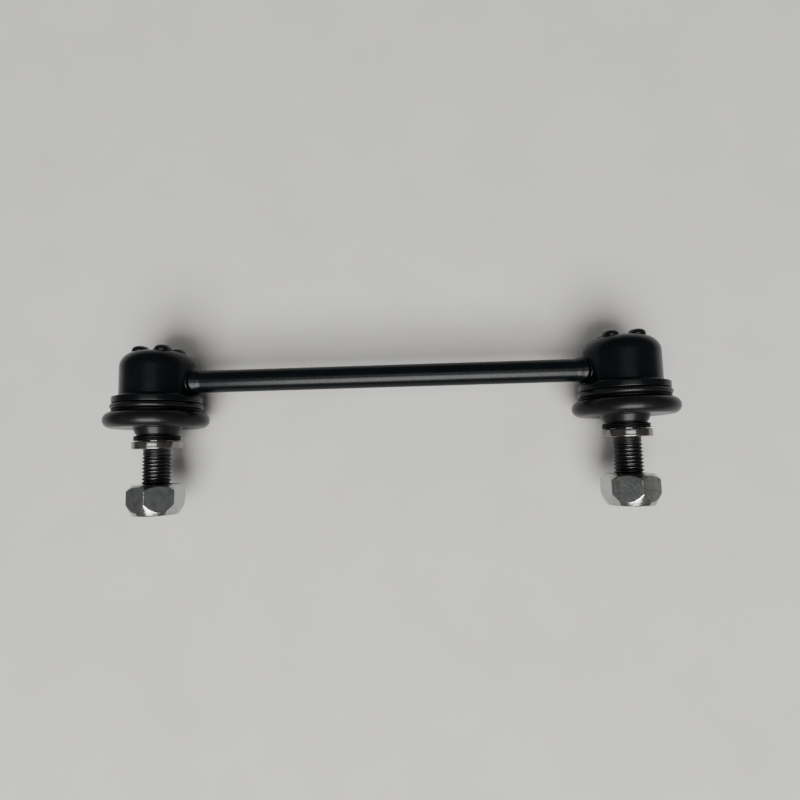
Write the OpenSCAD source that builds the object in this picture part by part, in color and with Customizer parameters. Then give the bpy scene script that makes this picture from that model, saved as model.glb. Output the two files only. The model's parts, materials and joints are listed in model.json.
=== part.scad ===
// Stabilizer link: a round steel rod with a sealed ball joint welded to each end.
// Each joint is a pressed cup that holds a resin seat and a ball stud, closed by a rubber boot.
// A lock nut is run on each stud as supplied, leaving room for the bracket that it clamps.
// The rod lies along X, the studs point along -Y, and the link lies on its two boots at z = 0.

/* [Link] */
// Distance between the two ball centres
centre_span = 167; // [110:1:320]
// Diameter of the rod
rod_d = 8.2; // [7:0.1:8.8]
// Radial rise of the flared rod end
flare_rise = 0.9; // [0.4:0.1:1.2]
// Length of the flare along the rod, from the housing wall outwards
flare_len = 4; // [2:0.1:6]
// Radial rise of the squeezed-out weld collar above the rod
weld_rise = 1.1; // [0.5:0.1:1.6]
// Length of the weld collar, from the housing wall outwards
weld_len = 0.5; // [0.3:0.1:1]
// Groove between the weld collar and the flare
weld_groove = 0.2; // [0.2:0.05:0.8]

/* [Housing] */
// Outer diameter of the cup
housing_d = 26; // [25:0.1:28]
// Wall thickness of the cup
housing_wall = 2.3; // [1.8:0.1:2.7]
// Thickness of the closed end
housing_end_t = 2; // [1.2:0.1:3]
// Outer rounding of the closed end
housing_edge_r = 5.8; // [4.5:0.1:6.2]
// Ball centre to the near face of the open end's flange
flange_drop = 5.4; // [5:0.1:6]
// Width of the flange beyond the cup wall
flange_w = 2.25; // [1.5:0.05:3]
// Thickness of the flange
flange_t = 2.35; // [1.8:0.05:2.6]
// Fillet between the cup wall and the flange
flange_fillet_r = 0.9; // [0.3:0.1:1.2]
// Rounding of the flange's rim
flange_edge_r = 0.45; // [0.2:0.05:0.7]

/* [Ball seat] */
// Resin thickness between the ball and the closed end
seat_crown = 0.9; // [0.5:0.1:2]
// Step inwards from the cup's outer wall to the seat's neck under the flange
seat_neck_step = 1.3; // [0.8:0.1:1.6]
// Height of the groove under the flange that takes the boot's bead
seat_groove_h = 2.05; // [1.9:0.05:2.4]
// Width of the seat's rim beyond its neck
seat_rim_w = 1.6; // [0.8:0.1:2]
// Thickness of the seat's rim
seat_rim_t = 1.2; // [0.8:0.1:1.8]
// Flare of the seat's mouth beyond the stud's swing, in degrees
mouth_relief = 6; // [4:1:8]
// Pins staked through the closed end
pin_count = 4; // [3:1:5]
// Diameter of a staked pin
pin_d = 2.8; // [2:0.1:3.4]
// Diameter of the circle of pins
pin_circle_d = 12.4; // [11.5:0.1:13.5]
// Turn of the left seat, from its first pin up towards +X, in degrees
left_pin_turn = 37; // [0:1:119]
// Turn of the right seat, in degrees
right_pin_turn = 40; // [0:1:119]
// Diameter of a staked head
head_d = 6; // [4.5:0.1:6.2]
// Height of a staked head
head_h = 2; // [1.2:0.1:2.2]
// Diameter of the dimple that the staking tool leaves
dimple_d = 2.2; // [1:0.1:2.6]
// Depth of the dimple
dimple_h = 0.8; // [0.3:0.1:1]

/* [Ball stud] */
// Diameter of the ball
ball_d = 16; // [15:0.1:17]
// Diameter of the neck below the ball
neck_d = 8.6; // [7.5:0.1:9.2]
// Diameter of the seat that the boot's lip seals on
seal_d = 11.2; // [10:0.1:11.8]
// Length of the seal seat above the collar
seal_len = 3.9; // [3:0.1:5]
// Length of the cone between the neck and the seal seat
neck_cone_len = 2.6; // [1.5:0.1:3]
// Ball centre to the collar's near face
collar_drop = 21.3; // [20.4:0.1:23]
// Diameter of the collar that seats on the bracket
collar_d = 16.9; // [14:0.1:19]
// Thickness of the collar
collar_t = 2.7; // [2:0.1:5]
// Chamfer of the collar's edges
collar_edge = 0.35; // [0.1:0.05:0.6]
// Diameter of the plain shank under the collar
shank_d = 9.2; // [8:0.1:10]
// Length of the plain shank
shank_len = 2.4; // [1:0.1:5]
// Outer diameter of the thread, M10 x 1.25
thread_d = 10; // [9.5:0.1:10.5]
// Collar's seating face to the end of the stud
stud_reach = 22.1; // [16:0.1:30]
// Chamfer at the end of the stud
stud_end_chamfer = 0.9; // [0.3:0.1:1.2]
// Hexagon socket across flats, for holding the stud while the nut is turned
socket_af = 5; // [4:0.5:6]
// Depth of the hexagon socket
socket_depth = 4.5; // [3:0.5:8]
// Half-angle of the cone that the stud can swing in, in degrees
swing = 22.4; // [10:0.1:24]

/* [Boot] */
// Thickness of the rubber
boot_wall = 1.3; // [0.9:0.1:1.6]
// Radial thickness of the bead under the flange
bead_w = 3.3; // [2.8:0.1:3.8]
// Round of the bead's outer face
bead_round = 0.75; // [0.3:0.05:0.8]
// Reach of the bulge beyond the bead
bulge_w = 2.7; // [2.1:0.05:2.8]
// Diameter of the boot's neck
boot_neck_d = 14.8; // [14.4:0.1:16]
// Length of the boot's neck
boot_neck_len = 2.65; // [2.5:0.05:3]
// Rise of the bulge's underside towards the neck
boot_under_rise = 0.9; // [0.1:0.05:1.1]
// Fillet between the bulge's underside and the neck
boot_fillet_r = 1.2; // [0.4:0.1:1.3]
// Gap between the boot's lip and the collar
lip_gap = 0.3; // [0.2:0.1:0.8]
// Thickness of the lip at the stud
lip_t = 1.1; // [0.5:0.05:1.15]
// Wire diameter of the ring that holds the bead
clip_d = 0.95; // [0.7:0.05:1.2]
// Gap between the ends of the bead's wire ring, in degrees
clip_gap_deg = 8; // [2:1:20]
// Wire diameter of the close-wound ring that holds the lip
lip_ring_d = 0.85; // [0.6:0.05:0.95]
// Turns of that ring
lip_ring_turns = 2; // [1:1:2]

/* [Nut] */
// Hexagon across flats
nut_af = 17; // [15:0.5:19]
// Height of the nut
nut_h = 10.7; // [8:0.1:12]
// Gap between the collar and the nut as supplied
nut_gap = 12.5; // [4:0.1:14]
// Diameter of the nut's outer end face
nut_end_d = 15.6; // [14:0.1:16.5]
// Half-angle of the nut's conical outer end, in degrees
nut_cone_angle = 25; // [20:1:35]
// Crown of that cone, over its straight side
nut_crown = 0.1; // [0.1:0.05:0.6]
// Diameter of the bearing face
nut_bearing_d = 15.8; // [13:0.1:16.4]
// Slope of the chamfer round the bearing face, depth over width
nut_chamfer = 1.1; // [0.5:0.1:1.2]
// Width of the countersink at each end of the thread
nut_countersink = 0.5; // [0.2:0.1:1]
// Turn of each nut from corner up towards +X, in degrees
nut_turn = 3; // [-30:1:30]

/* [Fits] */
// Radial clearance of the ball in its seat
ball_fit = 0.05; // [0.02:0.01:0.1]
// Clearance between the seat and the cup
seat_fit = 0.05; // [0.02:0.01:0.1]
// Radial clearance of the thread in the nut
thread_fit = 0.05; // [0.02:0.01:0.1]
// Gap between the welded pieces
weld_gap = 0.03; // [0.01:0.01:0.1]
// Gap between the boot and the rigid pieces that it sits on
boot_fit = 0.1; // [0.05:0.05:0.3]
// Gap between the boot's lip and the stud
lip_fit = 0.3; // [0.1:0.05:0.5]
// Gap between the swung stud and the seat's mouth
swing_room = 0.3; // [0.2:0.1:0.6]

/* [Hidden] */

$fn = 96;
left = -1;
right = 1;
arc_steps = 10;
// Height of a quarter circle's arc over its chord, for a radius of one
quarter_sag = 1 - cos(45);

paint = [0.07, 0.08, 0.09];
resin = [0.05, 0.05, 0.05];
rubber = [0.10, 0.10, 0.10];
spring_steel = [0.16, 0.16, 0.17];
bare_steel = [0.62, 0.60, 0.57];
zinc = [0.78, 0.80, 0.79];

// Radii of the link and the cup
rod_r = rod_d / 2;
housing_r = housing_d / 2;
bore_r = housing_r - housing_wall;
flange_r = housing_r + flange_w;

// Levels along the stud axis, from the ball centre towards the nut
seat_top = -(ball_d / 2 + ball_fit + seat_crown);
bore_end = seat_top - seat_fit;
dome = bore_end - housing_end_t;
flange_foot = flange_drop + flange_t;
ledge = flange_foot + seat_fit;
rim_top = ledge + seat_groove_h;
rim_foot = rim_top + seat_rim_t;
collar_foot = collar_drop + collar_t;
stud_end = collar_foot + stud_reach;
nut_top = collar_foot + nut_gap;
nut_foot = nut_top + nut_h;

// The seat grips the ball down to the angle that the stud's neck clears at full swing
seat_sphere_r = ball_d / 2 + ball_fit;
grip_angle = swing + asin((neck_d / 2 + swing_room) / seat_sphere_r);
mouth_r = seat_sphere_r * sin(grip_angle);
mouth_drop = seat_sphere_r * cos(grip_angle);
mouth_foot_r = mouth_r + (rim_foot - mouth_drop) * tan(swing + mouth_relief);
seat_r = bore_r - seat_fit;
seat_neck_r = housing_r - seat_neck_step;
seat_rim_r = seat_neck_r + seat_rim_w;
inner_edge_r = max(0.5, housing_edge_r - housing_wall);

// The boot's sections
bead_in_r = seat_neck_r + boot_fit;
bead_r = bead_in_r + bead_w;
bead_top = flange_foot + boot_fit;
clip_level = rim_top + clip_d / 2;
clip_r = bead_r - clip_d / 3;
bulge_top = clip_level + clip_d / 2;
lip_foot = collar_drop - lip_gap;
lip_in_r = seal_d / 2 + lip_fit;
lip_r = lip_in_r + lip_t;
lip_ring_r = lip_r + boot_fit + lip_ring_d / 2;
lip_ring_level = lip_foot - lip_ring_d / 2 - boot_fit / 2;
// The turns press a little into each other
lip_ring_pitch = 0.95 * lip_ring_d;
lip_ring_top = lip_ring_level - (lip_ring_turns - 1) * lip_ring_pitch;
neck_foot = lip_ring_top - lip_ring_d / 2 - boot_fit;
under = neck_foot - boot_neck_len;
boot_neck_r = boot_neck_d / 2;
bulge_r = bead_r + bulge_w;

// The link lies on its boots, and its box is centred on the origin in plan
axis_z = bulge_r;
axis_y = (nut_foot + dome - head_h) / 2;

// Points of a circular arc from a to b that bulges by sag to the right of that direction
function arc(a, b, sag) =
    let (
        chord = b - a,
        run = norm(chord),
        along = chord / run,
        aside = [along.y, -along.x],
        radius = (run * run / 4 + sag * sag) / (2 * sag),
        half = 2 * atan(2 * sag / run),
        centre = (a + b) / 2 + aside * (sag - radius)
    )
    [for (i = [0:arc_steps])
        let (turn = half * (2 * i / arc_steps - 1))
        centre + radius * (cos(turn) * aside + sin(turn) * along)];

// Outside of the cup from its closed end to the flange's rim, grown by a clearance
function housing_outline(grow) = concat(
    [[0, dome - grow]],
    arc(
        [housing_r - housing_edge_r, dome - grow],
        [housing_r + grow, dome + housing_edge_r],
        quarter_sag * (housing_edge_r + grow)
    ),
    arc(
        [housing_r + grow, flange_drop - flange_fillet_r],
        [housing_r + flange_fillet_r, flange_drop - grow],
        -quarter_sag * (flange_fillet_r - grow)
    ),
    arc(
        [flange_r - flange_edge_r, flange_drop - grow],
        [flange_r + grow, flange_drop + flange_edge_r],
        quarter_sag * (flange_edge_r + grow)
    ),
    arc(
        [flange_r + grow, flange_foot - flange_edge_r],
        [flange_r - flange_edge_r, flange_foot + grow],
        quarter_sag * (flange_edge_r + grow)
    )
);

// Places a piece that is turned about +Z at one end, with its ball centre at the origin
module at_end(side) {
    translate([side * centre_span / 2, axis_y, axis_z]) rotate([90, 0, 0]) children();
}

// Places a piece that is turned about +Z along the rod, with z = 0 at one ball centre
module along_rod(side) {
    translate([side * centre_span / 2, axis_y, axis_z]) rotate([0, -side * 90, 0]) children();
}

module revolve(points) {
    rotate_extrude() polygon(points);
}

// Repeats a piece at each staked pin
module at_pins(side) {
    turn = side == left ? left_pin_turn : right_pin_turn;
    for (i = [0:pin_count - 1])
        rotate([0, 0, 90 - turn + i * 360 / pin_count])
            translate([pin_circle_d / 2, 0, 0])
                children();
}

// Whole outside of the cup, grown by a clearance, for cutting what sits on it
module housing_envelope(grow) {
    revolve(concat(housing_outline(grow), [[0, flange_foot + grow]]));
}

module rod() {
    color(paint)
        difference() {
            union() {
                along_rod(left) cylinder(d = rod_d, h = centre_span);
                placed_flare(left);
                placed_flare(right);
            }
            at_end(left) housing_envelope(weld_gap);
            at_end(right) housing_envelope(weld_gap);
        }
}

// Trumpet at the end of the rod, sweeping out from the rod's radius to its rim
module rod_flare() {
    flare_r = rod_r + flare_rise;
    revolve(concat(
        [[0, 0], [flare_r, 0]],
        [for (i = [0:arc_steps])
            let (share = i / arc_steps)
            [rod_r + flare_rise * (1 + cos(180 * share)) / 2, housing_r + flare_len * share]],
        [[0, housing_r + flare_len]]
    ));
}

// The cup's round wall, grown by a thickness, for saddle-shaped ends
module grown_wall(grow) {
    cylinder(r = housing_r + grow, h = housing_d, center = true);
}

module placed_flare(side) {
    difference() {
        along_rod(side) rod_flare();
        at_end(side) grown_wall(weld_len + weld_groove);
    }
}

// Weld metal squeezed out round the end of the rod, lying on the cup's wall
module placed_weld(side) {
    color(paint)
        difference() {
            intersection() {
                along_rod(side) cylinder(r = rod_r + weld_rise, h = housing_d);
                at_end(side) grown_wall(weld_len);
            }
            along_rod(side) cylinder(r = rod_r + weld_gap, h = housing_d);
            at_end(side) housing_envelope(weld_gap);
        }
}

// Pressed cup with an out-turned flange and holes for the staked pins
module housing(side) {
    color(paint)
        difference() {
            revolve(concat(
                housing_outline(0),
                [[bore_r, flange_foot]],
                arc(
                    [bore_r, bore_end + inner_edge_r],
                    [bore_r - inner_edge_r, bore_end],
                    -quarter_sag * inner_edge_r
                ),
                [[0, bore_end]]
            ));
            translate([0, 0, dome - housing_end_t])
                at_pins(side) cylinder(d = pin_d + 2 * seat_fit, h = 3 * housing_end_t);
        }
}

// Resin seat that wraps the ball, with a rim below the flange and pins staked outside
module ball_seat(side) {
    color(resin)
        union() {
            difference() {
                revolve(concat(
                    [[0, seat_top]],
                    arc(
                        [seat_r - inner_edge_r, seat_top],
                        [seat_r, seat_top + inner_edge_r],
                        quarter_sag * inner_edge_r
                    ),
                    [
                        [seat_r, ledge], [seat_neck_r, ledge], [seat_neck_r, rim_top],
                        [seat_rim_r, rim_top], [seat_rim_r, rim_foot], [mouth_foot_r, rim_foot],
                        [mouth_r, mouth_drop], [0, mouth_drop]
                    ]
                ));
                sphere(r = seat_sphere_r);
            }
            at_pins(side) pin();
            difference() {
                at_pins(side) staked_head();
                housing_envelope(seat_fit);
            }
        }
}

// Pin rooted in the seat, reaching into its head
module pin() {
    root = seat_top + seat_crown;
    top = dome - head_h + dimple_h + seat_fit;
    translate([0, 0, top]) cylinder(d = pin_d, h = root - top);
}

// Mushroom head upset over the closed end, deep enough to be cut to the cup's rounding
module staked_head() {
    foot = dome + head_h / 2;
    revolve(concat(
        [[0, foot], [head_d / 2, foot]],
        arc([head_d / 2, dome], [dimple_d / 2, dome - head_h], -head_h / 3),
        [[0, dome - head_h + dimple_h]]
    ));
}

module ball() {
    color(bare_steel) sphere(d = ball_d);
}

// Stud with a cupped end welded to the ball, a collar, a plain shank and the thread
module stud() {
    cone_foot = collar_drop - seal_len;
    color(bare_steel)
        difference() {
            revolve([
                [0, 0], [neck_d / 2, 0],
                [neck_d / 2, cone_foot - neck_cone_len], [seal_d / 2, cone_foot],
                [seal_d / 2, collar_drop], [collar_d / 2 - collar_edge, collar_drop],
                [collar_d / 2, collar_drop + collar_edge], [collar_d / 2, collar_foot - collar_edge],
                [collar_d / 2 - collar_edge, collar_foot], [shank_d / 2, collar_foot],
                [shank_d / 2, collar_foot + shank_len],
                [thread_d / 2, collar_foot + shank_len + abs(thread_d - shank_d) / 2],
                [thread_d / 2, stud_end - stud_end_chamfer],
                [thread_d / 2 - stud_end_chamfer, stud_end], [0, stud_end]
            ]);
            sphere(r = seat_sphere_r);
            translate([0, 0, stud_end - socket_depth])
                cylinder(d = socket_af / cos(30), h = 2 * socket_depth, $fn = 6);
        }
}

// Rubber bellows from the bead under the flange to the lip on the stud
module boot() {
    shelf = rim_foot + boot_fit;
    bulge_foot = under;
    inner_under = under + boot_under_rise - boot_wall;
    inner_top = bulge_top + boot_wall;
    inner_r = bead_r - boot_wall / 3;
    inner_foot = bulge_foot - boot_wall;
    color(rubber)
        rotate_extrude() difference() {
            polygon(concat(
                [[bead_in_r, bead_top]],
                arc([bead_r - bead_round / 2, bead_top], [bead_r, clip_level - clip_d / 2], bead_round),
                arc([bead_r, bulge_top], [bead_r, bulge_foot], bulge_w),
                arc(
                    [boot_neck_r + boot_fillet_r, under + boot_under_rise],
                    [boot_neck_r, under + boot_under_rise + boot_fillet_r],
                    -quarter_sag * boot_fillet_r
                ),
                [
                    [boot_neck_r, neck_foot], [lip_r, neck_foot], [lip_r, lip_foot], [lip_in_r, lip_foot],
                    [lip_in_r, neck_foot - boot_fit], [boot_neck_r - boot_wall, neck_foot - boot_neck_len / 2],
                    [boot_neck_r - boot_wall, inner_under + boot_fillet_r / 2],
                    [boot_neck_r - boot_wall + boot_fillet_r / 2, inner_under]
                ],
                arc([inner_r, inner_foot], [inner_r, inner_top], boot_wall / 3 - bulge_w),
                [
                    [seat_rim_r + boot_fit, shelf], [seat_rim_r + boot_fit, rim_top - boot_fit],
                    [bead_in_r, rim_top - boot_fit]
                ]
            ));
            translate([clip_r, clip_level]) circle(d = clip_d + boot_fit);
        }
}

// Open wire ring that holds the bead in its groove, with its gap underneath
module boot_clip() {
    color(spring_steel)
        rotate([0, 0, clip_gap_deg / 2 - 90])
            rotate_extrude(angle = 360 - clip_gap_deg)
                translate([clip_r, clip_level]) circle(d = clip_d);
}

// Close-wound wire ring that holds the lip on the stud
module lip_ring() {
    color(spring_steel)
        rotate_extrude()
            for (i = [0:lip_ring_turns - 1])
                translate([lip_ring_r, lip_ring_level - i * lip_ring_pitch]) circle(d = lip_ring_d);
}

// Lock nut with a conical outer end
module nut() {
    corner_r = nut_af / 2 / cos(30) + 1;
    cone_h = (corner_r - nut_end_d / 2) / tan(nut_cone_angle);
    thread_r = thread_d / 2 + thread_fit;
    color(zinc)
        difference() {
            intersection() {
                translate([0, 0, nut_top])
                    rotate([0, 0, 30 - nut_turn])
                        cylinder(d = nut_af / cos(30), h = nut_h, $fn = 6);
                revolve(concat(
                    [
                        [0, nut_top], [nut_bearing_d / 2, nut_top],
                        [corner_r, nut_top + nut_chamfer * (corner_r - nut_bearing_d / 2)]
                    ],
                    arc([corner_r, nut_foot - cone_h], [nut_end_d / 2, nut_foot], nut_crown),
                    [[0, nut_foot]]
                ));
            }
            revolve([
                [0, nut_top - nut_h], [thread_r + nut_countersink + nut_h, nut_top - nut_h],
                [thread_r, nut_top + nut_countersink],
                [thread_r, nut_foot - nut_countersink],
                [thread_r + nut_countersink + nut_h, nut_foot + nut_h], [0, nut_foot + nut_h]
            ]);
        }
}

rod();
placed_weld(left);  // left_weld
at_end(left) housing(left);  // left_housing
at_end(left) ball_seat(left);  // left_ball_seat
at_end(left) ball();  // left_ball
at_end(left) stud();  // left_stud
at_end(left) boot();  // left_boot
at_end(left) boot_clip();  // left_boot_clip
at_end(left) lip_ring();  // left_lip_ring
at_end(left) nut();  // left_nut
placed_weld(right);  // right_weld
at_end(right) housing(right);  // right_housing
at_end(right) ball_seat(right);  // right_ball_seat
at_end(right) ball();  // right_ball
at_end(right) stud();  // right_stud
at_end(right) boot();  // right_boot
at_end(right) boot_clip();  // right_boot_clip
at_end(right) lip_ring();  // right_lip_ring
at_end(right) nut();  // right_nut
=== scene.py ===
import json
import math

import bmesh
import bpy
from mathutils import Euler, Matrix, Vector
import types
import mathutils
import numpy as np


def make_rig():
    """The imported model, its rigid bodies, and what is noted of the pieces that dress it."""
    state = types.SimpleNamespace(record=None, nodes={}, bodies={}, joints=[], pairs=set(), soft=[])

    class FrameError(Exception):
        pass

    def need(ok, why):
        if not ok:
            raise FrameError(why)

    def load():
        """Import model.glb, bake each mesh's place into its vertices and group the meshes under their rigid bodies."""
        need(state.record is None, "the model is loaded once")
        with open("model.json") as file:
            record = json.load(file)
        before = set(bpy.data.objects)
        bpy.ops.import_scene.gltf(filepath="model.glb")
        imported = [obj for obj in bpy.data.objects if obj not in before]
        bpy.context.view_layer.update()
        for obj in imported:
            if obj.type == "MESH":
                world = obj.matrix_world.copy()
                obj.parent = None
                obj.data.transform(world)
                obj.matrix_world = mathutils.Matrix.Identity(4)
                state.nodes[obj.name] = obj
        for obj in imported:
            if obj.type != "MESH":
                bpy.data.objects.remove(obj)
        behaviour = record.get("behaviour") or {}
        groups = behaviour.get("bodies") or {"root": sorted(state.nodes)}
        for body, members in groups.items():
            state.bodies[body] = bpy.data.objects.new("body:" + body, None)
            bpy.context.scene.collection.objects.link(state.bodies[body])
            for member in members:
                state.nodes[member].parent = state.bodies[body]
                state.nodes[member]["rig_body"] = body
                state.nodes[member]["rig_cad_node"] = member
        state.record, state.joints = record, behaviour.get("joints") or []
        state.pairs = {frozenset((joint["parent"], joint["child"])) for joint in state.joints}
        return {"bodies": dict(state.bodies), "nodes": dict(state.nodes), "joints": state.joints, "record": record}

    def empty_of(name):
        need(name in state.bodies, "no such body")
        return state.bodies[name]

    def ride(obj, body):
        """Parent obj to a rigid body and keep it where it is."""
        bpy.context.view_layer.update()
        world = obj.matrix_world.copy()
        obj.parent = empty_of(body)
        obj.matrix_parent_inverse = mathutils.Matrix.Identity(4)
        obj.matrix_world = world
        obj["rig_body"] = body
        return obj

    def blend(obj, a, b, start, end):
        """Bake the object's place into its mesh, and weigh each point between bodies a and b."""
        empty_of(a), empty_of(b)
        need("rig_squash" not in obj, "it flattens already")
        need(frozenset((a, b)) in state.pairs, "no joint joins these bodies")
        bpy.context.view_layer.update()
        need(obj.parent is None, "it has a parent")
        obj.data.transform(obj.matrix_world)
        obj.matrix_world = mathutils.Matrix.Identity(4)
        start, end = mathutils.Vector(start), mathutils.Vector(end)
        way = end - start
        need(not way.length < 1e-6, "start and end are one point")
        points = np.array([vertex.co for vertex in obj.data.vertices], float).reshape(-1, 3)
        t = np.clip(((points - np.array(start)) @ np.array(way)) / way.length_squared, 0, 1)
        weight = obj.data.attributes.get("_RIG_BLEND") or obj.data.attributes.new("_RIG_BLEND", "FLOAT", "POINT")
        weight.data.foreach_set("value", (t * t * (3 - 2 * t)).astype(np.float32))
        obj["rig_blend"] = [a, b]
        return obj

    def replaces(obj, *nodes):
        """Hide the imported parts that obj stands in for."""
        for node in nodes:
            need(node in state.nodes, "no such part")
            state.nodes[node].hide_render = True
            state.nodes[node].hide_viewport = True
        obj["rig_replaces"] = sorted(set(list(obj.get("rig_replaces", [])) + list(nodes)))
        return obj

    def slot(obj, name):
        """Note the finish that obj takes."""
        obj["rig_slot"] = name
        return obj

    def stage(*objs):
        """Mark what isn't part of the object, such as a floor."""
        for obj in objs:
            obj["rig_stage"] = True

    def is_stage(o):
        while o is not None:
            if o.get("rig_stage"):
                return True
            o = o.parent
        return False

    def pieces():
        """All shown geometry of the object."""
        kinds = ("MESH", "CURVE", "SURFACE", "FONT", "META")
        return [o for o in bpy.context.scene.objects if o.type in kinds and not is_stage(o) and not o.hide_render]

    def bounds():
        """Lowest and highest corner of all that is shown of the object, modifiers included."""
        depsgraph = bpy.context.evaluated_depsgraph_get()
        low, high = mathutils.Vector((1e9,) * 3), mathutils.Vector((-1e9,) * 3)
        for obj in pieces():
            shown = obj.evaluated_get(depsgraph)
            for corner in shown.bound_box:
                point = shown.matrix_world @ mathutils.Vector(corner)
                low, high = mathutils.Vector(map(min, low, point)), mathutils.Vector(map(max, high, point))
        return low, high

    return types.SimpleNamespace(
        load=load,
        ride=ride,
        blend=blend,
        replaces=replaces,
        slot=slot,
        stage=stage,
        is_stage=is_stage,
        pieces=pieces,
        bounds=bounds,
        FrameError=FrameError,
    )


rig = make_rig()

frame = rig.load()
cad_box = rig.bounds()

# Sizes are in millimetres, and levels run along a stud's axis from its ball centre towards its nut
MM = 0.001
FULL_TURN = 2 * math.pi
MERGE_DIST = 1e-6
CREASE = math.radians(35)
SIDES = {"left": -1, "right": 1}
# How far a cutter, or a helping line, runs past what it meets
OVERSHOOT = 1.0

# Link
HALF_SPAN = 83.5
AXIS_Y = 17.1
AXIS_Z = 17.8
ROD_R = 4.1
FLARE_R = 5.0
FLARE_LEN = 4.0
FLARE_RIM = 0.45
WELD_R = 5.2
WELD_LEN = 0.5
WELD_GROOVE = 0.2
WELD_FIT = 0.03
WELD_IN_R = ROD_R + WELD_FIT
# Section of the squeezed-out metal: radius, height over the cup's wall, and share of the unevenness
WELD_FORM = [
    (WELD_IN_R, WELD_FIT, 0), (WELD_IN_R, 0.30, 0), (4.32, 0.36, 0.4), (4.52, 0.46, 1), (4.78, WELD_LEN, 1),
    (4.98, 0.46, 1), (5.12, 0.34, 1), (WELD_R, 0.18, 1), (WELD_R, WELD_FIT, 0.6),
]
# Unevenness round the weld: waves in a turn, height and start of each, and the most that it takes away
WELD_WAVES = [(3, 0.22, 0.7), (7, 0.16, 2.1), (13, 0.12, 0.0)]
WELD_UNEVEN_R = 0.16
WELD_UNEVEN_RISE = 0.10
WELD_UNEVEN_LAG = 1.3
# Rows along a flare, closer together at its rounded rim
FLARE_SHARES = [0, 0.01, 0.03, 0.06, 0.10, 0.15] + [0.2 + 0.04 * i for i in range(21)]

# Cup
HOUSING_R = 13.0
BORE_R = 10.7
DOME = -11.0
BORE_END = -9.0
EDGE_R = 5.8
INNER_EDGE_R = 3.5
FLANGE_R = 15.25
FLANGE_TOP = 5.4
FLANGE_FOOT = 7.75
FLANGE_FILLET = 0.9
FLANGE_EDGE = 0.45

# Ball seat
SEAT_R = 10.65
SEAT_TOP = -8.95
SEAT_SPHERE_R = 8.05
SEAT_NECK_R = 11.7
SEAT_RIM_R = 13.3
LEDGE = 7.8
RIM_TOP = 9.85
RIM_FOOT = 11.05
GRIP_DEG = 57.3
MOUTH_FOOT_R = 10.39
PIN_R = 1.4
PIN_CIRCLE_R = 6.2
PIN_TURN = {"left": 37, "right": 40}
PIN_COUNT = 4
PIN_FIT = 0.05
HEAD_R = 3.0
HEAD_H = 2.0
HEAD_SINK = 0.05
HEAD_ROOT = 0.4
DIMPLE_R = 1.1
DIMPLE_H = 0.8
DIMPLE_FLOOR_R = 0.25
DIMPLE_SAG = 0.12
DIMPLE_DROP = 0.08
DIMPLE_EDGE = 0.12

# Stud
NECK_R = 4.3
NECK_TOP = 6.85
CONE_TOP = 14.8
SEAL_TOP = 17.4
SEAL_R = 5.6
COLLAR_TOP = 21.3
COLLAR_FOOT = 24.0
COLLAR_R = 8.45
COLLAR_EDGE = 0.35
SHANK_R = 4.6
SHANK_FILLET = 0.3
THREAD_START = 24.7
THREAD_RUN_OUT = 2.4
PITCH = 1.25
CREST_R = 4.97
ROOT_R = 4.25
STUD_END = 46.1
STUD_END_R = 4.1
SOCKET_AF = 5.0
SOCKET_DEPTH = 4.5
SOCKET_POINT = 1.0
# One pitch of the thread: share of the pitch, and height from root to crest
THREAD_FORM = [
    (0.00, 0.00), (0.10, 0.05), (0.25, 0.48), (0.40, 0.96), (0.45, 1.00),
    (0.55, 1.00), (0.60, 0.96), (0.75, 0.48), (0.90, 0.05),
]
# Height from which the thread's crest takes the brighter crest finish, a painted highlight
CREST_SHARE = 0.9
STUD_CREASE = math.radians(25)

# Boot
BEAD_IN_R = 11.8
BEAD_R = 15.1
BEAD_TOP = 7.85
BEAD_ROUND = 0.75
CLIP_D = 0.95
CLIP_R = 14.78
CLIP_LEVEL = 10.325
CLIP_GAP_DEG = 8
BULGE_TOP = 10.8
BULGE_W = 2.7
BULGE_STEPS = 40
# The upper part of the boot bends with the tilt, and the rest with the swing
SEAM_STEP = 12
SEAM_SHARE = 0.01
FOLD_END = 15.4
BOOT_WALL = 1.3
INNER_STEP = BOOT_WALL / 3
BOOT_FIT = 0.1
UNDER = 16.5425
UNDER_RECESS = 0.4
UNDER_WALL = 0.6
BOOT_NECK_R = 7.4
NECK_TAPER = 0.75
NECK_FILLET = 0.6
NECK_FOOT = 18.65
NECK_ROUND = 0.2
NECK_WALL_FOOT = 17.85
LIP_R = 7.0
LIP_IN_R = 5.9
LIP_FOOT = 21.0
LIP_RING_R = 7.525
LIP_RING_LEVEL = 20.525
LIP_RING_D = 0.85
LIP_RING_PITCH = 0.8075
LIP_RING_TURNS = 2
LIP_RING_START = math.radians(110)
LIP_RING_STEP = 0.08
# Points round the lip's wire, which don't meet those of the next turn
LIP_RING_STEPS = 18

# Nut
NUT_TOP = 36.5
NUT_FOOT = 47.2
NUT_AF = 17.0
NUT_END_R = 7.8
NUT_CONE_DEG = 25
NUT_CROWN = 0.1
NUT_BEARING_R = 7.9
NUT_CHAMFER = 1.1
NUT_BORE_R = 5.05
NUT_SINK = 0.5
NUT_FIRST_CORNER = math.radians(27)
NUT_CORNER_ROUND = 0.3
NUT_BEARING_EDGE = 0.2
NUT_END_EDGE = 0.1
NUT_CREASE = math.radians(50)
# Rows over the nut, closer together at its edges
NUT_CHAMFER_SHARES = (0.03, 0.1, 0.5, 0.9)
NUT_FLAT_SHARES = (0.012, 0.04, 0.3, 0.6, 0.96, 0.988)
NUT_CONE_SHARES = (0.05, 0.15, 0.3, 0.5, 0.7, 0.85, 0.95)


# Points on the object

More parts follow.
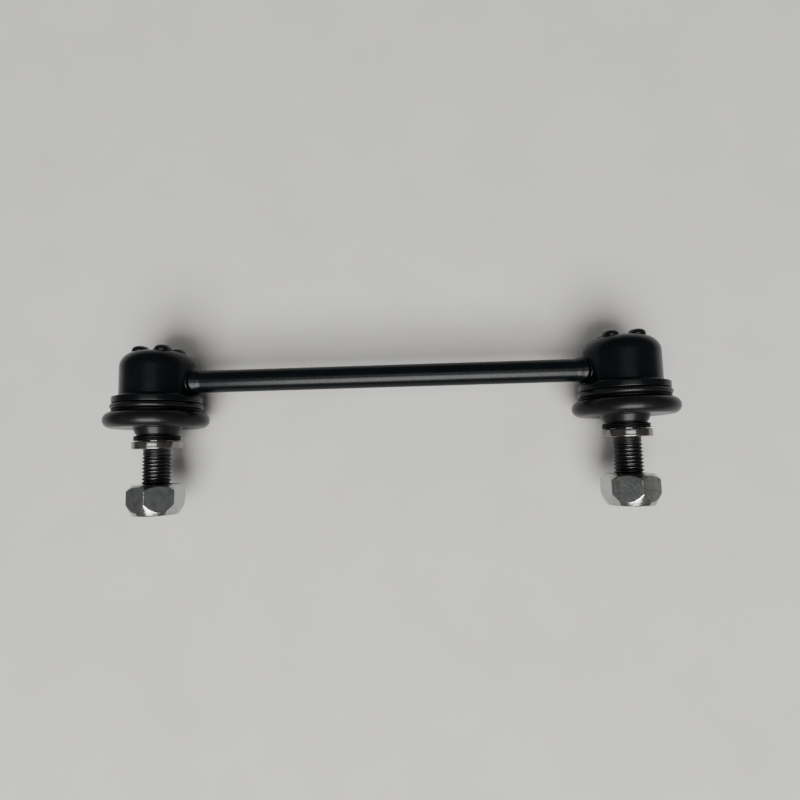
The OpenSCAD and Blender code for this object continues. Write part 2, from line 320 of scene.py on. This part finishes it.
def end_point(side, x=0.0, y=0.0):
    """Places (turn, radius, level) about an axis beside one end's stud axis."""
    def place(turn, r, h):
        across = SIDES[side] * HALF_SPAN + x + r * math.cos(turn)
        up = AXIS_Z + y + r * math.sin(turn)
        return Vector((across, AXIS_Y - h, up)) * MM
    return place


def rod_point(turn, r, along):
    """Places (turn, radius, distance along X) about the rod's axis."""
    return Vector((along, AXIS_Y + r * math.sin(turn), AXIS_Z + r * math.cos(turn))) * MM


def weld_point(side):
    """Places (turn, radius, height over the cup's wall) about the rod's axis."""
    def place(turn, r, rise):
        along = wall_distance(turn, r) + rise
        return rod_point(turn, r, SIDES[side] * (HALF_SPAN - along))
    return place


def wall_distance(turn, r):
    """Distance of the cup's round wall from the stud axis, at a point about the rod's axis."""
    return math.sqrt(HOUSING_R ** 2 - (r * math.cos(turn)) ** 2)


def axis_point(side, h):
    return end_point(side)(0.0, 0.0, h)


# Profiles

def arc(a, b, sag, steps=14):
    """Points of a circular arc from a to b that bulges by sag to the right of that direction."""
    a = Vector(a)
    b = Vector(b)
    chord = b - a
    run = chord.length
    along = chord / run
    aside = Vector((along.y, -along.x))
    radius = (run * run / 4 + sag * sag) / (2 * sag)
    half = 2 * math.atan(2 * sag / run)
    centre = (a + b) / 2 + aside * (sag - radius)
    points = []
    for i in range(steps + 1):
        turn = half * (2 * i / steps - 1)
        points.append(tuple(centre + radius * (math.cos(turn) * aside + math.sin(turn) * along)))
    return points


def quarter(a, b, radius, steps=14):
    """Quarter circle from a to b, outwards for a positive radius."""
    return arc(a, b, (1 - math.cos(math.pi / 4)) * radius, steps)


def circle(r, h, radius, steps=20):
    turns = [FULL_TURN * i / steps for i in range(steps)]
    return [(r + radius * math.cos(t), h + radius * math.sin(t)) for t in turns]


def smooth(t):
    t = min(1.0, max(0.0, t))
    return t * t * (3 - 2 * t)


# Meshes

def even_turns(count, start=0.0, sweep=FULL_TURN):
    return [start + sweep * i / count for i in range(count + 1)]


def ring(point):
    """The same radius and level at every turn."""
    return lambda turn: point


def sweep(bm, rows, turns, place, coats=None, caps=False):
    """Adds a surface through rows of (radius, level), each a function of the turn, in a closed loop."""
    grid = [[bm.verts.new(place(turn, *row(turn))) for turn in turns] for row in rows]
    for i, row in enumerate(grid):
        following = grid[(i + 1) % len(grid)]
        for j in range(len(turns) - 1):
            face = bm.faces.new((row[j], row[j + 1], following[j + 1], following[j]))
            face.material_index = coats[i] if coats else 0
    if caps:
        bm.faces.new([row[0] for row in grid])
        bm.faces.new([row[-1] for row in reversed(grid)])


def lathe(bm, points, place, columns=160):
    sweep(bm, [ring(p) for p in points], even_turns(columns), place)


def piece(name, bm, coats, crease=CREASE):
    """Closes the seams and makes an object of the mesh."""
    bmesh.ops.remove_doubles(bm, verts=bm.verts[:], dist=MERGE_DIST)
    bmesh.ops.dissolve_degenerate(bm, edges=bm.edges[:], dist=MERGE_DIST)
    bmesh.ops.recalc_face_normals(bm, faces=bm.faces[:])
    mesh = bpy.data.meshes.new(name)
    bm.to_mesh(mesh)
    bm.free()
    for coat in coats:
        mesh.materials.append(coat)
    mesh.polygons.foreach_set("use_smooth", [True] * len(mesh.polygons))
    mesh.set_sharp_from_angle(angle=crease)
    obj = bpy.data.objects.new(name, mesh)
    bpy.context.scene.collection.objects.link(obj)
    return obj


def settle(obj, body, slot, *nodes):
    """Puts a rigid piece on its body, in the place of the CAD nodes that it stands for."""
    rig.ride(obj, body)
    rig.replaces(obj, *nodes)
    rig.slot(obj, slot)


# Materials

PLAIN = (1, 1, 1)


def ranged(tree, source, low, high, start, end):
    """Maps a texture's value from start..end to low..high."""
    node = tree.nodes.new("ShaderNodeMapRange")
    node.inputs["From Min"].default_value = start
    node.inputs["From Max"].default_value = end
    node.inputs["To Min"].default_value = low
    node.inputs["To Max"].default_value = high
    tree.links.new(source, node.inputs["Value"])
    return node.outputs["Result"]


def noise(tree, coords, scale, detail, stretch=PLAIN):
    mapping = tree.nodes.new("ShaderNodeMapping")
    mapping.inputs["Scale"].default_value = stretch
    tree.links.new(coords, mapping.inputs["Vector"])
    node = tree.nodes.new("ShaderNodeTexNoise")
    node.inputs["Scale"].default_value = scale
    node.inputs["Detail"].default_value = detail
    tree.links.new(mapping.outputs["Vector"], node.inputs["Vector"])
    return node.outputs["Fac"]


def mixed(tree, factor, a, b):
    node = tree.nodes.new("ShaderNodeMix")
    node.data_type = "RGBA"
    tree.links.new(factor, node.inputs[0])
    node.inputs[6].default_value = (*a, 1)
    node.inputs[7].default_value = (*b, 1)
    return node.outputs[2]


# Spans of the noise's value that a finish uses, for its blotches and for its grain
BLOTCH_SPAN = (0.42, 0.72)
GRAIN_SPAN = (0.3, 0.7)
# Stretch of the grain that leaves rings round a turned face
TURNED = (1, 60, 1)


def coat(name, tone, wear_and_highlight, rough, metallic, blotch, grain, grain_depth, stretch=PLAIN, specular=0.5):
    """Procedural finish: blotches of two tones and two roughnesses over a fine grain, scales per metre."""
    mat = bpy.data.materials.new(name)
    mat.use_nodes = True
    tree = mat.node_tree
    shader = tree.nodes["Principled BSDF"]
    coords = tree.nodes.new("ShaderNodeTexCoord").outputs["Object"]
    patches = noise(tree, coords, blotch, 6)
    wear = ranged(tree, patches, 0, 1, *BLOTCH_SPAN)
    tree.links.new(mixed(tree, wear, tone, wear_and_highlight), shader.inputs["Base Color"])
    fine = noise(tree, coords, grain, 4, stretch)
    tree.links.new(ranged(tree, fine, *rough, *GRAIN_SPAN), shader.inputs["Roughness"])
    bump = tree.nodes.new("ShaderNodeBump")
    bump.inputs["Strength"].default_value = 1.0
    bump.inputs["Distance"].default_value = grain_depth * MM
    tree.links.new(fine, bump.inputs["Height"])
    tree.links.new(bump.outputs["Normal"], shader.inputs["Normal"])
    shader.inputs["Metallic"].default_value = metallic
    shader.inputs["Specular IOR Level"].default_value = specular
    return mat


def grey(tone):
    return tone, tone, tone


PAINT = coat(
    "black_paint", (0.0009, 0.0017, 0.0024), (0.0018, 0.0028, 0.0036), (0.24, 0.30),
    metallic=0, blotch=160, grain=900, grain_depth=0.0015, specular=0.15,
)
RESIN = coat(
    "resin", grey(0.0012), grey(0.003), (0.14, 0.26),
    metallic=0, blotch=300, grain=1500, grain_depth=0.02, specular=0.4,
)
RUBBER = coat(
    "rubber", (0.0040, 0.0041, 0.0045), (0.0062, 0.0063, 0.0068), (0.24, 0.36),
    metallic=0, blotch=220, grain=2600, grain_depth=0.006, specular=0.15,
)
WIRE = coat(
    "spring_wire", grey(0.0010), grey(0.003), (0.36, 0.48),
    metallic=0, blotch=700, grain=3000, grain_depth=0.01, specular=0.1,
)
BALL = coat(
    "polished_steel", grey(0.70), (0.62, 0.61, 0.60), (0.06, 0.12),
    metallic=1, blotch=200, grain=4000, grain_depth=0.001,
)
COLLAR = coat(
    "collar_steel", (0.20, 0.195, 0.19), (0.12, 0.11, 0.105), (0.13, 0.22),
    metallic=1, blotch=320, grain=60, grain_depth=0.002, stretch=TURNED,
)
THREAD = coat(
    "thread_dark", grey(0.004), (0.010, 0.009, 0.009), (0.30, 0.46),
    metallic=0.5, blotch=700, grain=2500, grain_depth=0.01,
)
# Brighter metal for the thread's crests, a painted highlight along the thread
CREST = coat(
    "thread_crest", grey(0.08), grey(0.03), (0.22, 0.38),
    metallic=1, blotch=500, grain=3000, grain_depth=0.01,
)
ZINC = coat(
    "bright_zinc", (0.37, 0.39, 0.375), (0.27, 0.285, 0.275), (0.10, 0.22),
    metallic=1, blotch=420, grain=1800, grain_depth=0.005,
)
FLOOR = coat(
    "floor", (0.44, 0.435, 0.43), (0.415, 0.41, 0.405), (0.7, 0.85),
    metallic=0, blotch=30, grain=400, grain_depth=0.02, specular=0.2,
)


# Rod and its welds

def flare_r(along):
    """Radius of the rod at a distance from the stud axis, swept out at its end like a trumpet."""
    share = min(1.0, max(0.0, (along - HOUSING_R) / FLARE_LEN))
    return ROD_R + (FLARE_R - ROD_R) * (1 + math.cos(math.pi * share)) / 2


def rod_row(side, share):
    """Row of the rod from the flare's saddle-shaped rim at share 0 to its plain part at share 1."""
    def row(turn):
        rim = wall_distance(turn, FLARE_R) + WELD_LEN + WELD_GROOVE
        along = rim + (HOUSING_R + FLARE_LEN - rim) * share
        dip = FLARE_RIM * (1 - math.sqrt(1 - (1 - min(1.0, (along - rim) / FLARE_RIM)) ** 2))
        return flare_r(along) - dip, SIDES[side] * (HALF_SPAN - along)
    return row


def rod_end_row(side, clear):
    """Row of the rod's core, at a clearance from the cup's wall."""
    def row(turn):
        return ROD_R, SIDES[side] * (HALF_SPAN - wall_distance(turn, ROD_R) - clear)
    return row


def build_rod():
    half = {}
    for side in SIDES:
        half[side] = [ring((0, SIDES[side] * (HALF_SPAN - HOUSING_R - WELD_FIT)))]
        half[side] += [rod_end_row(side, WELD_FIT), rod_end_row(side, WELD_LEN + WELD_GROOVE)]
        half[side] += [rod_row(side, share) for share in FLARE_SHARES]
    bm = bmesh.new()
    sweep(bm, half["left"] + half["right"][::-1], even_turns(96), rod_point)
    settle(piece("rod_bar", bm, [PAINT]), "link_body", "black_paint", "rod")


def ragged(turn):
    """Unevenness of the squeezed-out metal, between 0 and 1."""
    waves = [height * math.sin(count * turn + start) for count, height, start in WELD_WAVES]
    return sum(waves, 0.5)


def weld_row(r, rise, give):
    def row(turn):
        sunk = give * WELD_UNEVEN_R * ragged(turn)
        low = give * WELD_UNEVEN_RISE * ragged(turn + WELD_UNEVEN_LAG)
        return r - sunk, rise - low
    return row


def build_weld(side):
    bm = bmesh.new()
    sweep(bm, [weld_row(*point) for point in WELD_FORM], even_turns(120), weld_point(side))
    settle(piece(f"{side}_weld_collar", bm, [PAINT]), "link_body", "black_paint", f"{side}_weld")


# Cup and seat

def housing_points():
    points = [(0, DOME)]
    points += quarter((HOUSING_R - EDGE_R, DOME), (HOUSING_R, DOME + EDGE_R), EDGE_R, 24)
    points += quarter(
        (HOUSING_R, FLANGE_TOP - FLANGE_FILLET), (HOUSING_R + FLANGE_FILLET, FLANGE_TOP), -FLANGE_FILLET
    )
    edge = FLANGE_EDGE
    points += quarter((FLANGE_R - edge, FLANGE_TOP), (FLANGE_R, FLANGE_TOP + edge), edge)
    points += quarter((FLANGE_R, FLANGE_FOOT - edge), (FLANGE_R - edge, FLANGE_FOOT), edge)
    points += [(BORE_R, FLANGE_FOOT)]
    points += quarter((BORE_R, BORE_END + INNER_EDGE_R), (BORE_R - INNER_EDGE_R, BORE_END), -INNER_EDGE_R)
    return points + [(0, BORE_END)]


def pin_places(side):
    for i in range(PIN_COUNT):
        turn = math.radians(90 - PIN_TURN[side] + 360 * i / PIN_COUNT)
        yield end_point(side, PIN_CIRCLE_R * math.cos(turn), PIN_CIRCLE_R * math.sin(turn))


def cut(obj, cutter):
    """Takes one mesh out of another."""
    tool = obj.modifiers.new("cut", "BOOLEAN")
    tool.operation = "DIFFERENCE"
    tool.solver = "EXACT"
    tool.object = cutter
    graph = bpy.context.evaluated_depsgraph_get()
    mesh = bpy.data.meshes.new_from_object(obj.evaluated_get(graph))
    obj.modifiers.remove(tool)
    spare = obj.data
    obj.data = mesh
    bpy.data.meshes.remove(spare)
    bpy.data.objects.remove(cutter)
    mesh.set_sharp_from_angle(angle=CREASE)


def build_housing(side):
    bm = bmesh.new()
    lathe(bm, housing_points(), end_point(side))
    shell = piece(f"{side}_cup", bm, [PAINT])
    bm = bmesh.new()
    hole = PIN_R + PIN_FIT
    top = DOME - OVERSHOOT
    foot = BORE_END + OVERSHOOT
    for place in pin_places(side):
        lathe(bm, [(0, top), (hole, top), (hole, foot), (0, foot)], place, 32)
    cut(shell, piece("pin_holes", bm, []))
    settle(shell, "link_body", "black_paint", f"{side}_housing")


def build_seat(side):
    points = [(0, SEAT_TOP)]
    points += quarter((SEAT_R - INNER_EDGE_R, SEAT_TOP), (SEAT_R, SEAT_TOP + INNER_EDGE_R), INNER_EDGE_R)
    points += [
        (SEAT_R, LEDGE), (SEAT_NECK_R, LEDGE), (SEAT_NECK_R, RIM_TOP), (SEAT_RIM_R, RIM_TOP),
        (SEAT_RIM_R, RIM_FOOT), (MOUTH_FOOT_R, RIM_FOOT),
    ]
    steps = 40
    open_turn = math.pi - math.radians(GRIP_DEG)
    for i in range(steps + 1):
        turn = open_turn * (1 - i / steps)
        points.append((SEAT_SPHERE_R * math.sin(turn), -SEAT_SPHERE_R * math.cos(turn)))
    bm = bmesh.new()
    lathe(bm, points, end_point(side), 96)
    top = DOME - HEAD_H
    root = DOME + HEAD_ROOT
    head = [(0, top + DIMPLE_H)]
    head += arc((DIMPLE_FLOOR_R, top + DIMPLE_H), (DIMPLE_R, top + DIMPLE_DROP), DIMPLE_SAG, 6)
    head += arc((DIMPLE_R + DIMPLE_EDGE, top), (HEAD_R, DOME + HEAD_SINK), HEAD_H / 3, 16)
    head += [(HEAD_R, root), (PIN_R, root), (PIN_R, SEAT_TOP), (0, SEAT_TOP)]
    for place in pin_places(side):
        lathe(bm, head, place, 64)
    settle(piece(f"{side}_seat_and_heads", bm, [RESIN]), "link_body", "resin", f"{side}_ball_seat")


# Stud and nut

def thread_row(share, height):
    """One helical line of the thread, fading into the shank and the end's chamfer."""
    def row(turn):
        level = THREAD_START + PITCH * (share + turn / FULL_TURN)
        level = min(STUD_END, max(THREAD_START, level))
        full = ROOT_R + height * (CREST_R - ROOT_R)
        r = SHANK_R + (full - SHANK_R) * smooth((level - THREAD_START) / THREAD_RUN_OUT)
        return min(r, STUD_END_R + STUD_END - level), level
    return row


def socket_row(level):
    def row(turn):
        aside = turn % (FULL_TURN / 6) - FULL_TURN / 12
        return SOCKET_AF / 2 / math.cos(aside), level
    return row


DARK, BRIGHT, TURNED_FACE = 0, 1, 2


def build_stud(side):
    rows = []
    coats = []

    def add(row, finish):
        rows.append(row)
        coats.append(finish)

    edge = COLLAR_EDGE
    upper = [
        (0, NECK_TOP), (NECK_R, NECK_TOP), (NECK_R, CONE_TOP), (SEAL_R, SEAL_TOP), (SEAL_R, COLLAR_TOP),
    ]
    collar = quarter((COLLAR_R - edge, COLLAR_TOP), (COLLAR_R, COLLAR_TOP + edge), edge, 5)
    collar += quarter((COLLAR_R, COLLAR_FOOT - edge), (COLLAR_R - edge, COLLAR_FOOT), edge, 5)
    for point in upper + collar:
        add(ring(point), TURNED_FACE)
    add(ring((SHANK_R + SHANK_FILLET, COLLAR_FOOT)), DARK)
    add(ring((SHANK_R, COLLAR_FOOT + SHANK_FILLET)), DARK)
    pitches = math.ceil((STUD_END - THREAD_START) / PITCH)
    for pitch in range(-1, pitches + 1):
        for i, (share, height) in enumerate(THREAD_FORM):
            following = THREAD_FORM[(i + 1) % len(THREAD_FORM)][1]
            # Rows at the crest take the brighter crest finish, a painted highlight along the thread
            wear_and_highlight = min(height, following) > CREST_SHARE
            add(thread_row(pitch + share, height), BRIGHT if wear_and_highlight else DARK)
    add(socket_row(STUD_END), DARK)
    add(socket_row(STUD_END - SOCKET_DEPTH), DARK)
    add(ring((0, STUD_END - SOCKET_DEPTH - SOCKET_POINT)), DARK)
    bm = bmesh.new()
    sweep(bm, rows, even_turns(96), end_point(side), coats)
    stud = piece(f"{side}_ball_stud", bm, [THREAD, CREST, COLLAR], STUD_CREASE)
    settle(stud, f"{side}_stud", "stud_steel", f"{side}_stud")


def nut_radius(turn):
    """Outline of the hexagon with rounded corners."""
    aside = abs((turn - NUT_FIRST_CORNER + math.pi / 6) % (math.pi / 3) - math.pi / 6)
    heart = (NUT_AF / 2 - NUT_CORNER_ROUND) / math.cos(math.pi / 6)
    if aside < nut_corner_half():
        return heart * math.cos(aside) + math.sqrt(NUT_CORNER_ROUND ** 2 - (heart * math.sin(aside)) ** 2)
    return NUT_AF / 2 / math.cos(math.pi / 6 - aside)


def nut_corner_half():
    """Half of the turn that one rounded corner takes up."""
    heart = (NUT_AF / 2 - NUT_CORNER_ROUND) / math.cos(math.pi / 6)
    return math.atan2(NUT_CORNER_ROUND / 2, heart + NUT_CORNER_ROUND * math.cos(math.pi / 6))


def nut_turns():
    half = nut_corner_half()
    margin = math.radians(0.8)
    flat_steps = 12
    turns = []
    for corner in range(6):
        middle = NUT_FIRST_CORNER + corner * math.pi / 3
        turns += [middle + half * share for share in (-1, -0.5, 0, 0.5, 1)]
        start = middle + half + margin
        run = math.pi / 3 - 2 * (half + margin)
        turns += even_turns(flat_steps, start, run)
    return turns + [turns[0] + FULL_TURN]


NUT_CONE_R = NUT_AF / 2 / math.cos(math.pi / 6) + OVERSHOOT
NUT_CONE_H = (NUT_CONE_R - NUT_END_R) / math.tan(math.radians(NUT_CONE_DEG))
NUT_CONE = arc((NUT_CONE_R, NUT_FOOT - NUT_CONE_H), (NUT_END_R, NUT_FOOT), NUT_CROWN, 120)


def cone_level(r):
    """Level on the nut's crowned cone at a radius."""
    for (r0, h0), (r1, h1) in zip(NUT_CONE, NUT_CONE[1:]):
        if r1 <= r <= r0:
            return h0 + (h1 - h0) * (r0 - r) / (r0 - r1)
    return NUT_FOOT


def nut_side(share):
    """Row across a flat, from the bearing side's chamfer at share 0 to the cone at share 1."""
    def row(turn):
        r = nut_radius(turn)
        top = NUT_TOP + NUT_CHAMFER * (r - NUT_BEARING_R)
        foot = cone_level(r)
        return r, top + (foot - top) * share
    return row


def nut_chamfer_row(share):
    def row(turn):
        r = NUT_BEARING_R + (nut_radius(turn) - NUT_BEARING_R) * share
        return r, NUT_TOP + NUT_CHAMFER * (r - NUT_BEARING_R)
    return row


def nut_cone_row(share):
    def row(turn):
        outer = nut_radius(turn)
        r = outer + (NUT_END_R - outer) * share
        return r, cone_level(r)
    return row


def build_nut(side):
    sink_r = NUT_BORE_R + NUT_SINK
    rows = [ring(p) for p in [
        (NUT_BORE_R, NUT_TOP + NUT_SINK), (sink_r, NUT_TOP), (NUT_BEARING_R - NUT_BEARING_EDGE, NUT_TOP),
    ]]
    rows += [nut_chamfer_row(share) for share in NUT_CHAMFER_SHARES]
    rows += [nut_side(share) for share in NUT_FLAT_SHARES]
    rows += [nut_cone_row(share) for share in NUT_CONE_SHARES]
    rows += [ring(p) for p in [
        (NUT_END_R - NUT_END_EDGE, NUT_FOOT), (sink_r, NUT_FOOT), (NUT_BORE_R, NUT_FOOT - NUT_SINK),
    ]]
    bm = bmesh.new()
    sweep(bm, rows, nut_turns(), end_point(side))
    nut = piece(f"{side}_lock_nut", bm, [ZINC], NUT_CREASE)
    settle(nut, f"{side}_nut", "bright_zinc", f"{side}_nut")


# Boot and its rings

def near_seam(points, at):
    """The same arc with one more point on each side of its seam, along the tangent, to keep its shading."""
    seam = Vector(points[at])
    step = (Vector(points[at + 1]) - Vector(points[at - 1])) * SEAM_SHARE
    return points[:at] + [tuple(seam - step), points[at], tuple(seam + step)] + points[at + 1:]


def build_boot(side):
    outer = near_seam(arc((BEAD_R, BULGE_TOP), (BEAD_R, UNDER), BULGE_W, BULGE_STEPS), SEAM_STEP)
    outer_upper = outer[:SEAM_STEP + 2]
    outer_lower = outer[SEAM_STEP + 1:]
    seam = outer_lower[0][1]
    inner_r = BEAD_R - INNER_STEP
    inner = arc((inner_r, UNDER - UNDER_WALL), (inner_r, seam), INNER_STEP - BULGE_W, 24)
    groove = CLIP_D / 2
    shelf = RIM_FOOT + BOOT_FIT
    rim_r = SEAT_RIM_R + BOOT_FIT
    upper = [(BEAD_IN_R, BEAD_TOP)]
    upper += arc((BEAD_R - BEAD_ROUND / 2, BEAD_TOP), (BEAD_R, CLIP_LEVEL - groove), BEAD_ROUND)
    upper += [(CLIP_R - groove, CLIP_LEVEL - groove), (CLIP_R - groove, BULGE_TOP)]
    upper += outer_upper
    upper += [
        (inner_r, seam), (rim_r, shelf), (rim_r, RIM_TOP - BOOT_FIT), (BEAD_IN_R, RIM_TOP - BOOT_FIT),
    ]
    neck_top = UNDER - UNDER_RECESS
    neck_top_r = BOOT_NECK_R + NECK_TAPER
    inner_under = neck_top - UNDER_WALL
    inner_top_r = neck_top_r - BOOT_WALL
    lower = list(outer_lower)
    lower += quarter(
        (neck_top_r + NECK_FILLET, neck_top), (neck_top_r, neck_top + NECK_FILLET), -NECK_FILLET, 8
    )
    lower += quarter(
        (BOOT_NECK_R, NECK_FOOT - NECK_ROUND), (BOOT_NECK_R - NECK_ROUND, NECK_FOOT), NECK_ROUND, 4
    )
    lower += [
        (LIP_R, NECK_FOOT), (LIP_R, LIP_FOOT), (LIP_IN_R, LIP_FOOT), (LIP_IN_R, NECK_FOOT),
        (BOOT_NECK_R - BOOT_WALL, NECK_WALL_FOOT), (inner_top_r, inner_under + NECK_FILLET),
        (inner_top_r + NECK_FILLET, inner_under),
    ]
    lower += inner
    bm = bmesh.new()
    lathe(bm, upper, end_point(side))
    part = piece(f"{side}_boot_upper", bm, [RUBBER])
    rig.blend(part, "link_body", f"{side}_ball", axis_point(side, BULGE_TOP), axis_point(side, seam))
    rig.replaces(part, f"{side}_boot")
    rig.slot(part, "rubber")
    bm = bmesh.new()
    lathe(bm, lower, end_point(side))
    part = piece(f"{side}_boot_lower", bm, [RUBBER])
    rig.blend(part, f"{side}_ball", f"{side}_lip_ring", axis_point(side, seam), axis_point(side, FOLD_END))
    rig.replaces(part, f"{side}_boot")
    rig.slot(part, "rubber")


def coil_row(r, h):
    """Line along the close-wound lip ring, stepping up to its next turn over a short stretch."""
    def row(turn):
        turned = (turn - LIP_RING_START) / FULL_TURN
        climb = smooth((turned - 1) / LIP_RING_STEP + 0.5)
        return r, h - LIP_RING_PITCH * climb
    return row


def build_rings(side):
    gap = math.radians(CLIP_GAP_DEG)
    down = -math.pi / 2
    bm = bmesh.new()
    wire = [ring(p) for p in circle(CLIP_R, CLIP_LEVEL, CLIP_D / 2)]
    turns = even_turns(150, down + gap / 2, FULL_TURN - gap)
    sweep(bm, wire, turns, end_point(side), None, True)
    settle(piece(f"{side}_bead_ring", bm, [WIRE]), "link_body", "spring_wire", f"{side}_boot_clip")
    bm = bmesh.new()
    wire = [coil_row(*p) for p in circle(LIP_RING_R, LIP_RING_LEVEL, LIP_RING_D / 2, LIP_RING_STEPS)]
    turns = even_turns(150 * LIP_RING_TURNS, LIP_RING_START, FULL_TURN * LIP_RING_TURNS)
    sweep(bm, wire, turns, end_point(side), None, True)
    settle(piece(f"{side}_lip_wire", bm, [WIRE]), f"{side}_lip_ring", "spring_wire", f"{side}_lip_ring")


def paint_ball(side):
    """The ball's CAD shape is right, so it only takes a finish."""
    ball = frame["nodes"][f"{side}_ball"]
    ball.data.materials.clear()
    ball.data.materials.append(BALL)


build_rod()
for end in SIDES:
    build_weld(end)
    build_housing(end)
    build_seat(end)
    build_boot(end)
    build_rings(end)
    build_stud(end)
    build_nut(end)
    paint_ball(end)


# Floor, light and camera

def build_floor():
    half = 2.5
    corners = [(-half, -half, 0), (half, -half, 0), (half, half, 0), (-half, half, 0)]
    mesh = bpy.data.meshes.new("floor")
    mesh.from_pydata(corners, [], [(0, 1, 2, 3)])
    mesh.materials.append(FLOOR)
    floor = bpy.data.objects.new("floor", mesh)
    bpy.context.scene.collection.objects.link(floor)
    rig.stage(floor)


def area_light(name, place, aim, size, power, colour):
    data = bpy.data.lights.new(name, "AREA")
    data.shape = "RECTANGLE"
    data.size, data.size_y = size
    data.energy = power
    data.color = colour
    lamp = bpy.data.objects.new(name, data)
    bpy.context.scene.collection.objects.link(lamp)
    lamp.location = place
    lamp.rotation_euler = (Vector(aim) - Vector(place)).to_track_quat("-Z", "Y").to_euler()


WARM = (1.0, 0.99, 0.97)
# Share of full brightness of the surroundings at the sine of the elevation
SKY = [(0.0, 0.16), (0.25, 0.20), (0.55, 0.22), (0.80, 0.20), (0.93, 0.18), (1.0, 0.18)]


def build_world():
    world = bpy.data.worlds.new("studio")
    bpy.context.scene.world = world
    world.use_nodes = True
    tree = world.node_tree
    coords = tree.nodes.new("ShaderNodeTexCoord")
    split = tree.nodes.new("ShaderNodeSeparateXYZ")
    ramp = tree.nodes.new("ShaderNodeValToRGB")
    tree.links.new(coords.outputs["Generated"], split.inputs["Vector"])
    tree.links.new(split.outputs["Z"], ramp.inputs["Fac"])
    stops = ramp.color_ramp.elements
    while len(stops) < len(SKY):
        stops.new(0.5)
    for stop, (place, share) in zip(stops, SKY):
        stop.position = place
        stop.color = (share, share, share, 1)
    back = tree.nodes["Background"]
    back.inputs["Strength"].default_value = 1.0
    tree.links.new(ramp.outputs["Color"], back.inputs["Color"])


def build_camera():
    turn = (-0.10177, -0.03803, 0.02908)
    shift = Vector((-4.868, 8.5645, 0.0))
    distance = 187.464
    pivot = Vector((0.0, AXIS_Y, AXIS_Z))
    focal_px = 521.2
    picture_px = 800
    view = Euler(turn, "XYZ").to_matrix().transposed()
    data = bpy.data.cameras.new("camera")
    data.sensor_width = 36
    data.lens = focal_px / picture_px * data.sensor_width
    data.clip_start = 0.005
    camera = bpy.data.objects.new("camera", data)
    bpy.context.scene.collection.objects.link(camera)
    place = pivot + view @ (Vector((0.0, 0.0, distance)) - shift)
    camera.matrix_world = Matrix.Translation(place * MM) @ view.to_4x4()
    bpy.context.scene.camera = camera


build_floor()
build_world()
area_light("lamp", place=(0.0, -1.27, 1.68), aim=(0, 0.02, 0.02), size=(1.5, 1.5), power=114, colour=WARM)
area_light("strip", place=(0.0, 0.055, 2.0), aim=(0.0, 0.055, 0), size=(1.45, 0.2), power=6.0, colour=WARM)
build_camera()

with open("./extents.json", "w") as out:
    json.dump({"cad": [list(corner) for corner in cad_box], "visual": [list(corner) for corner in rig.bounds()]}, out)
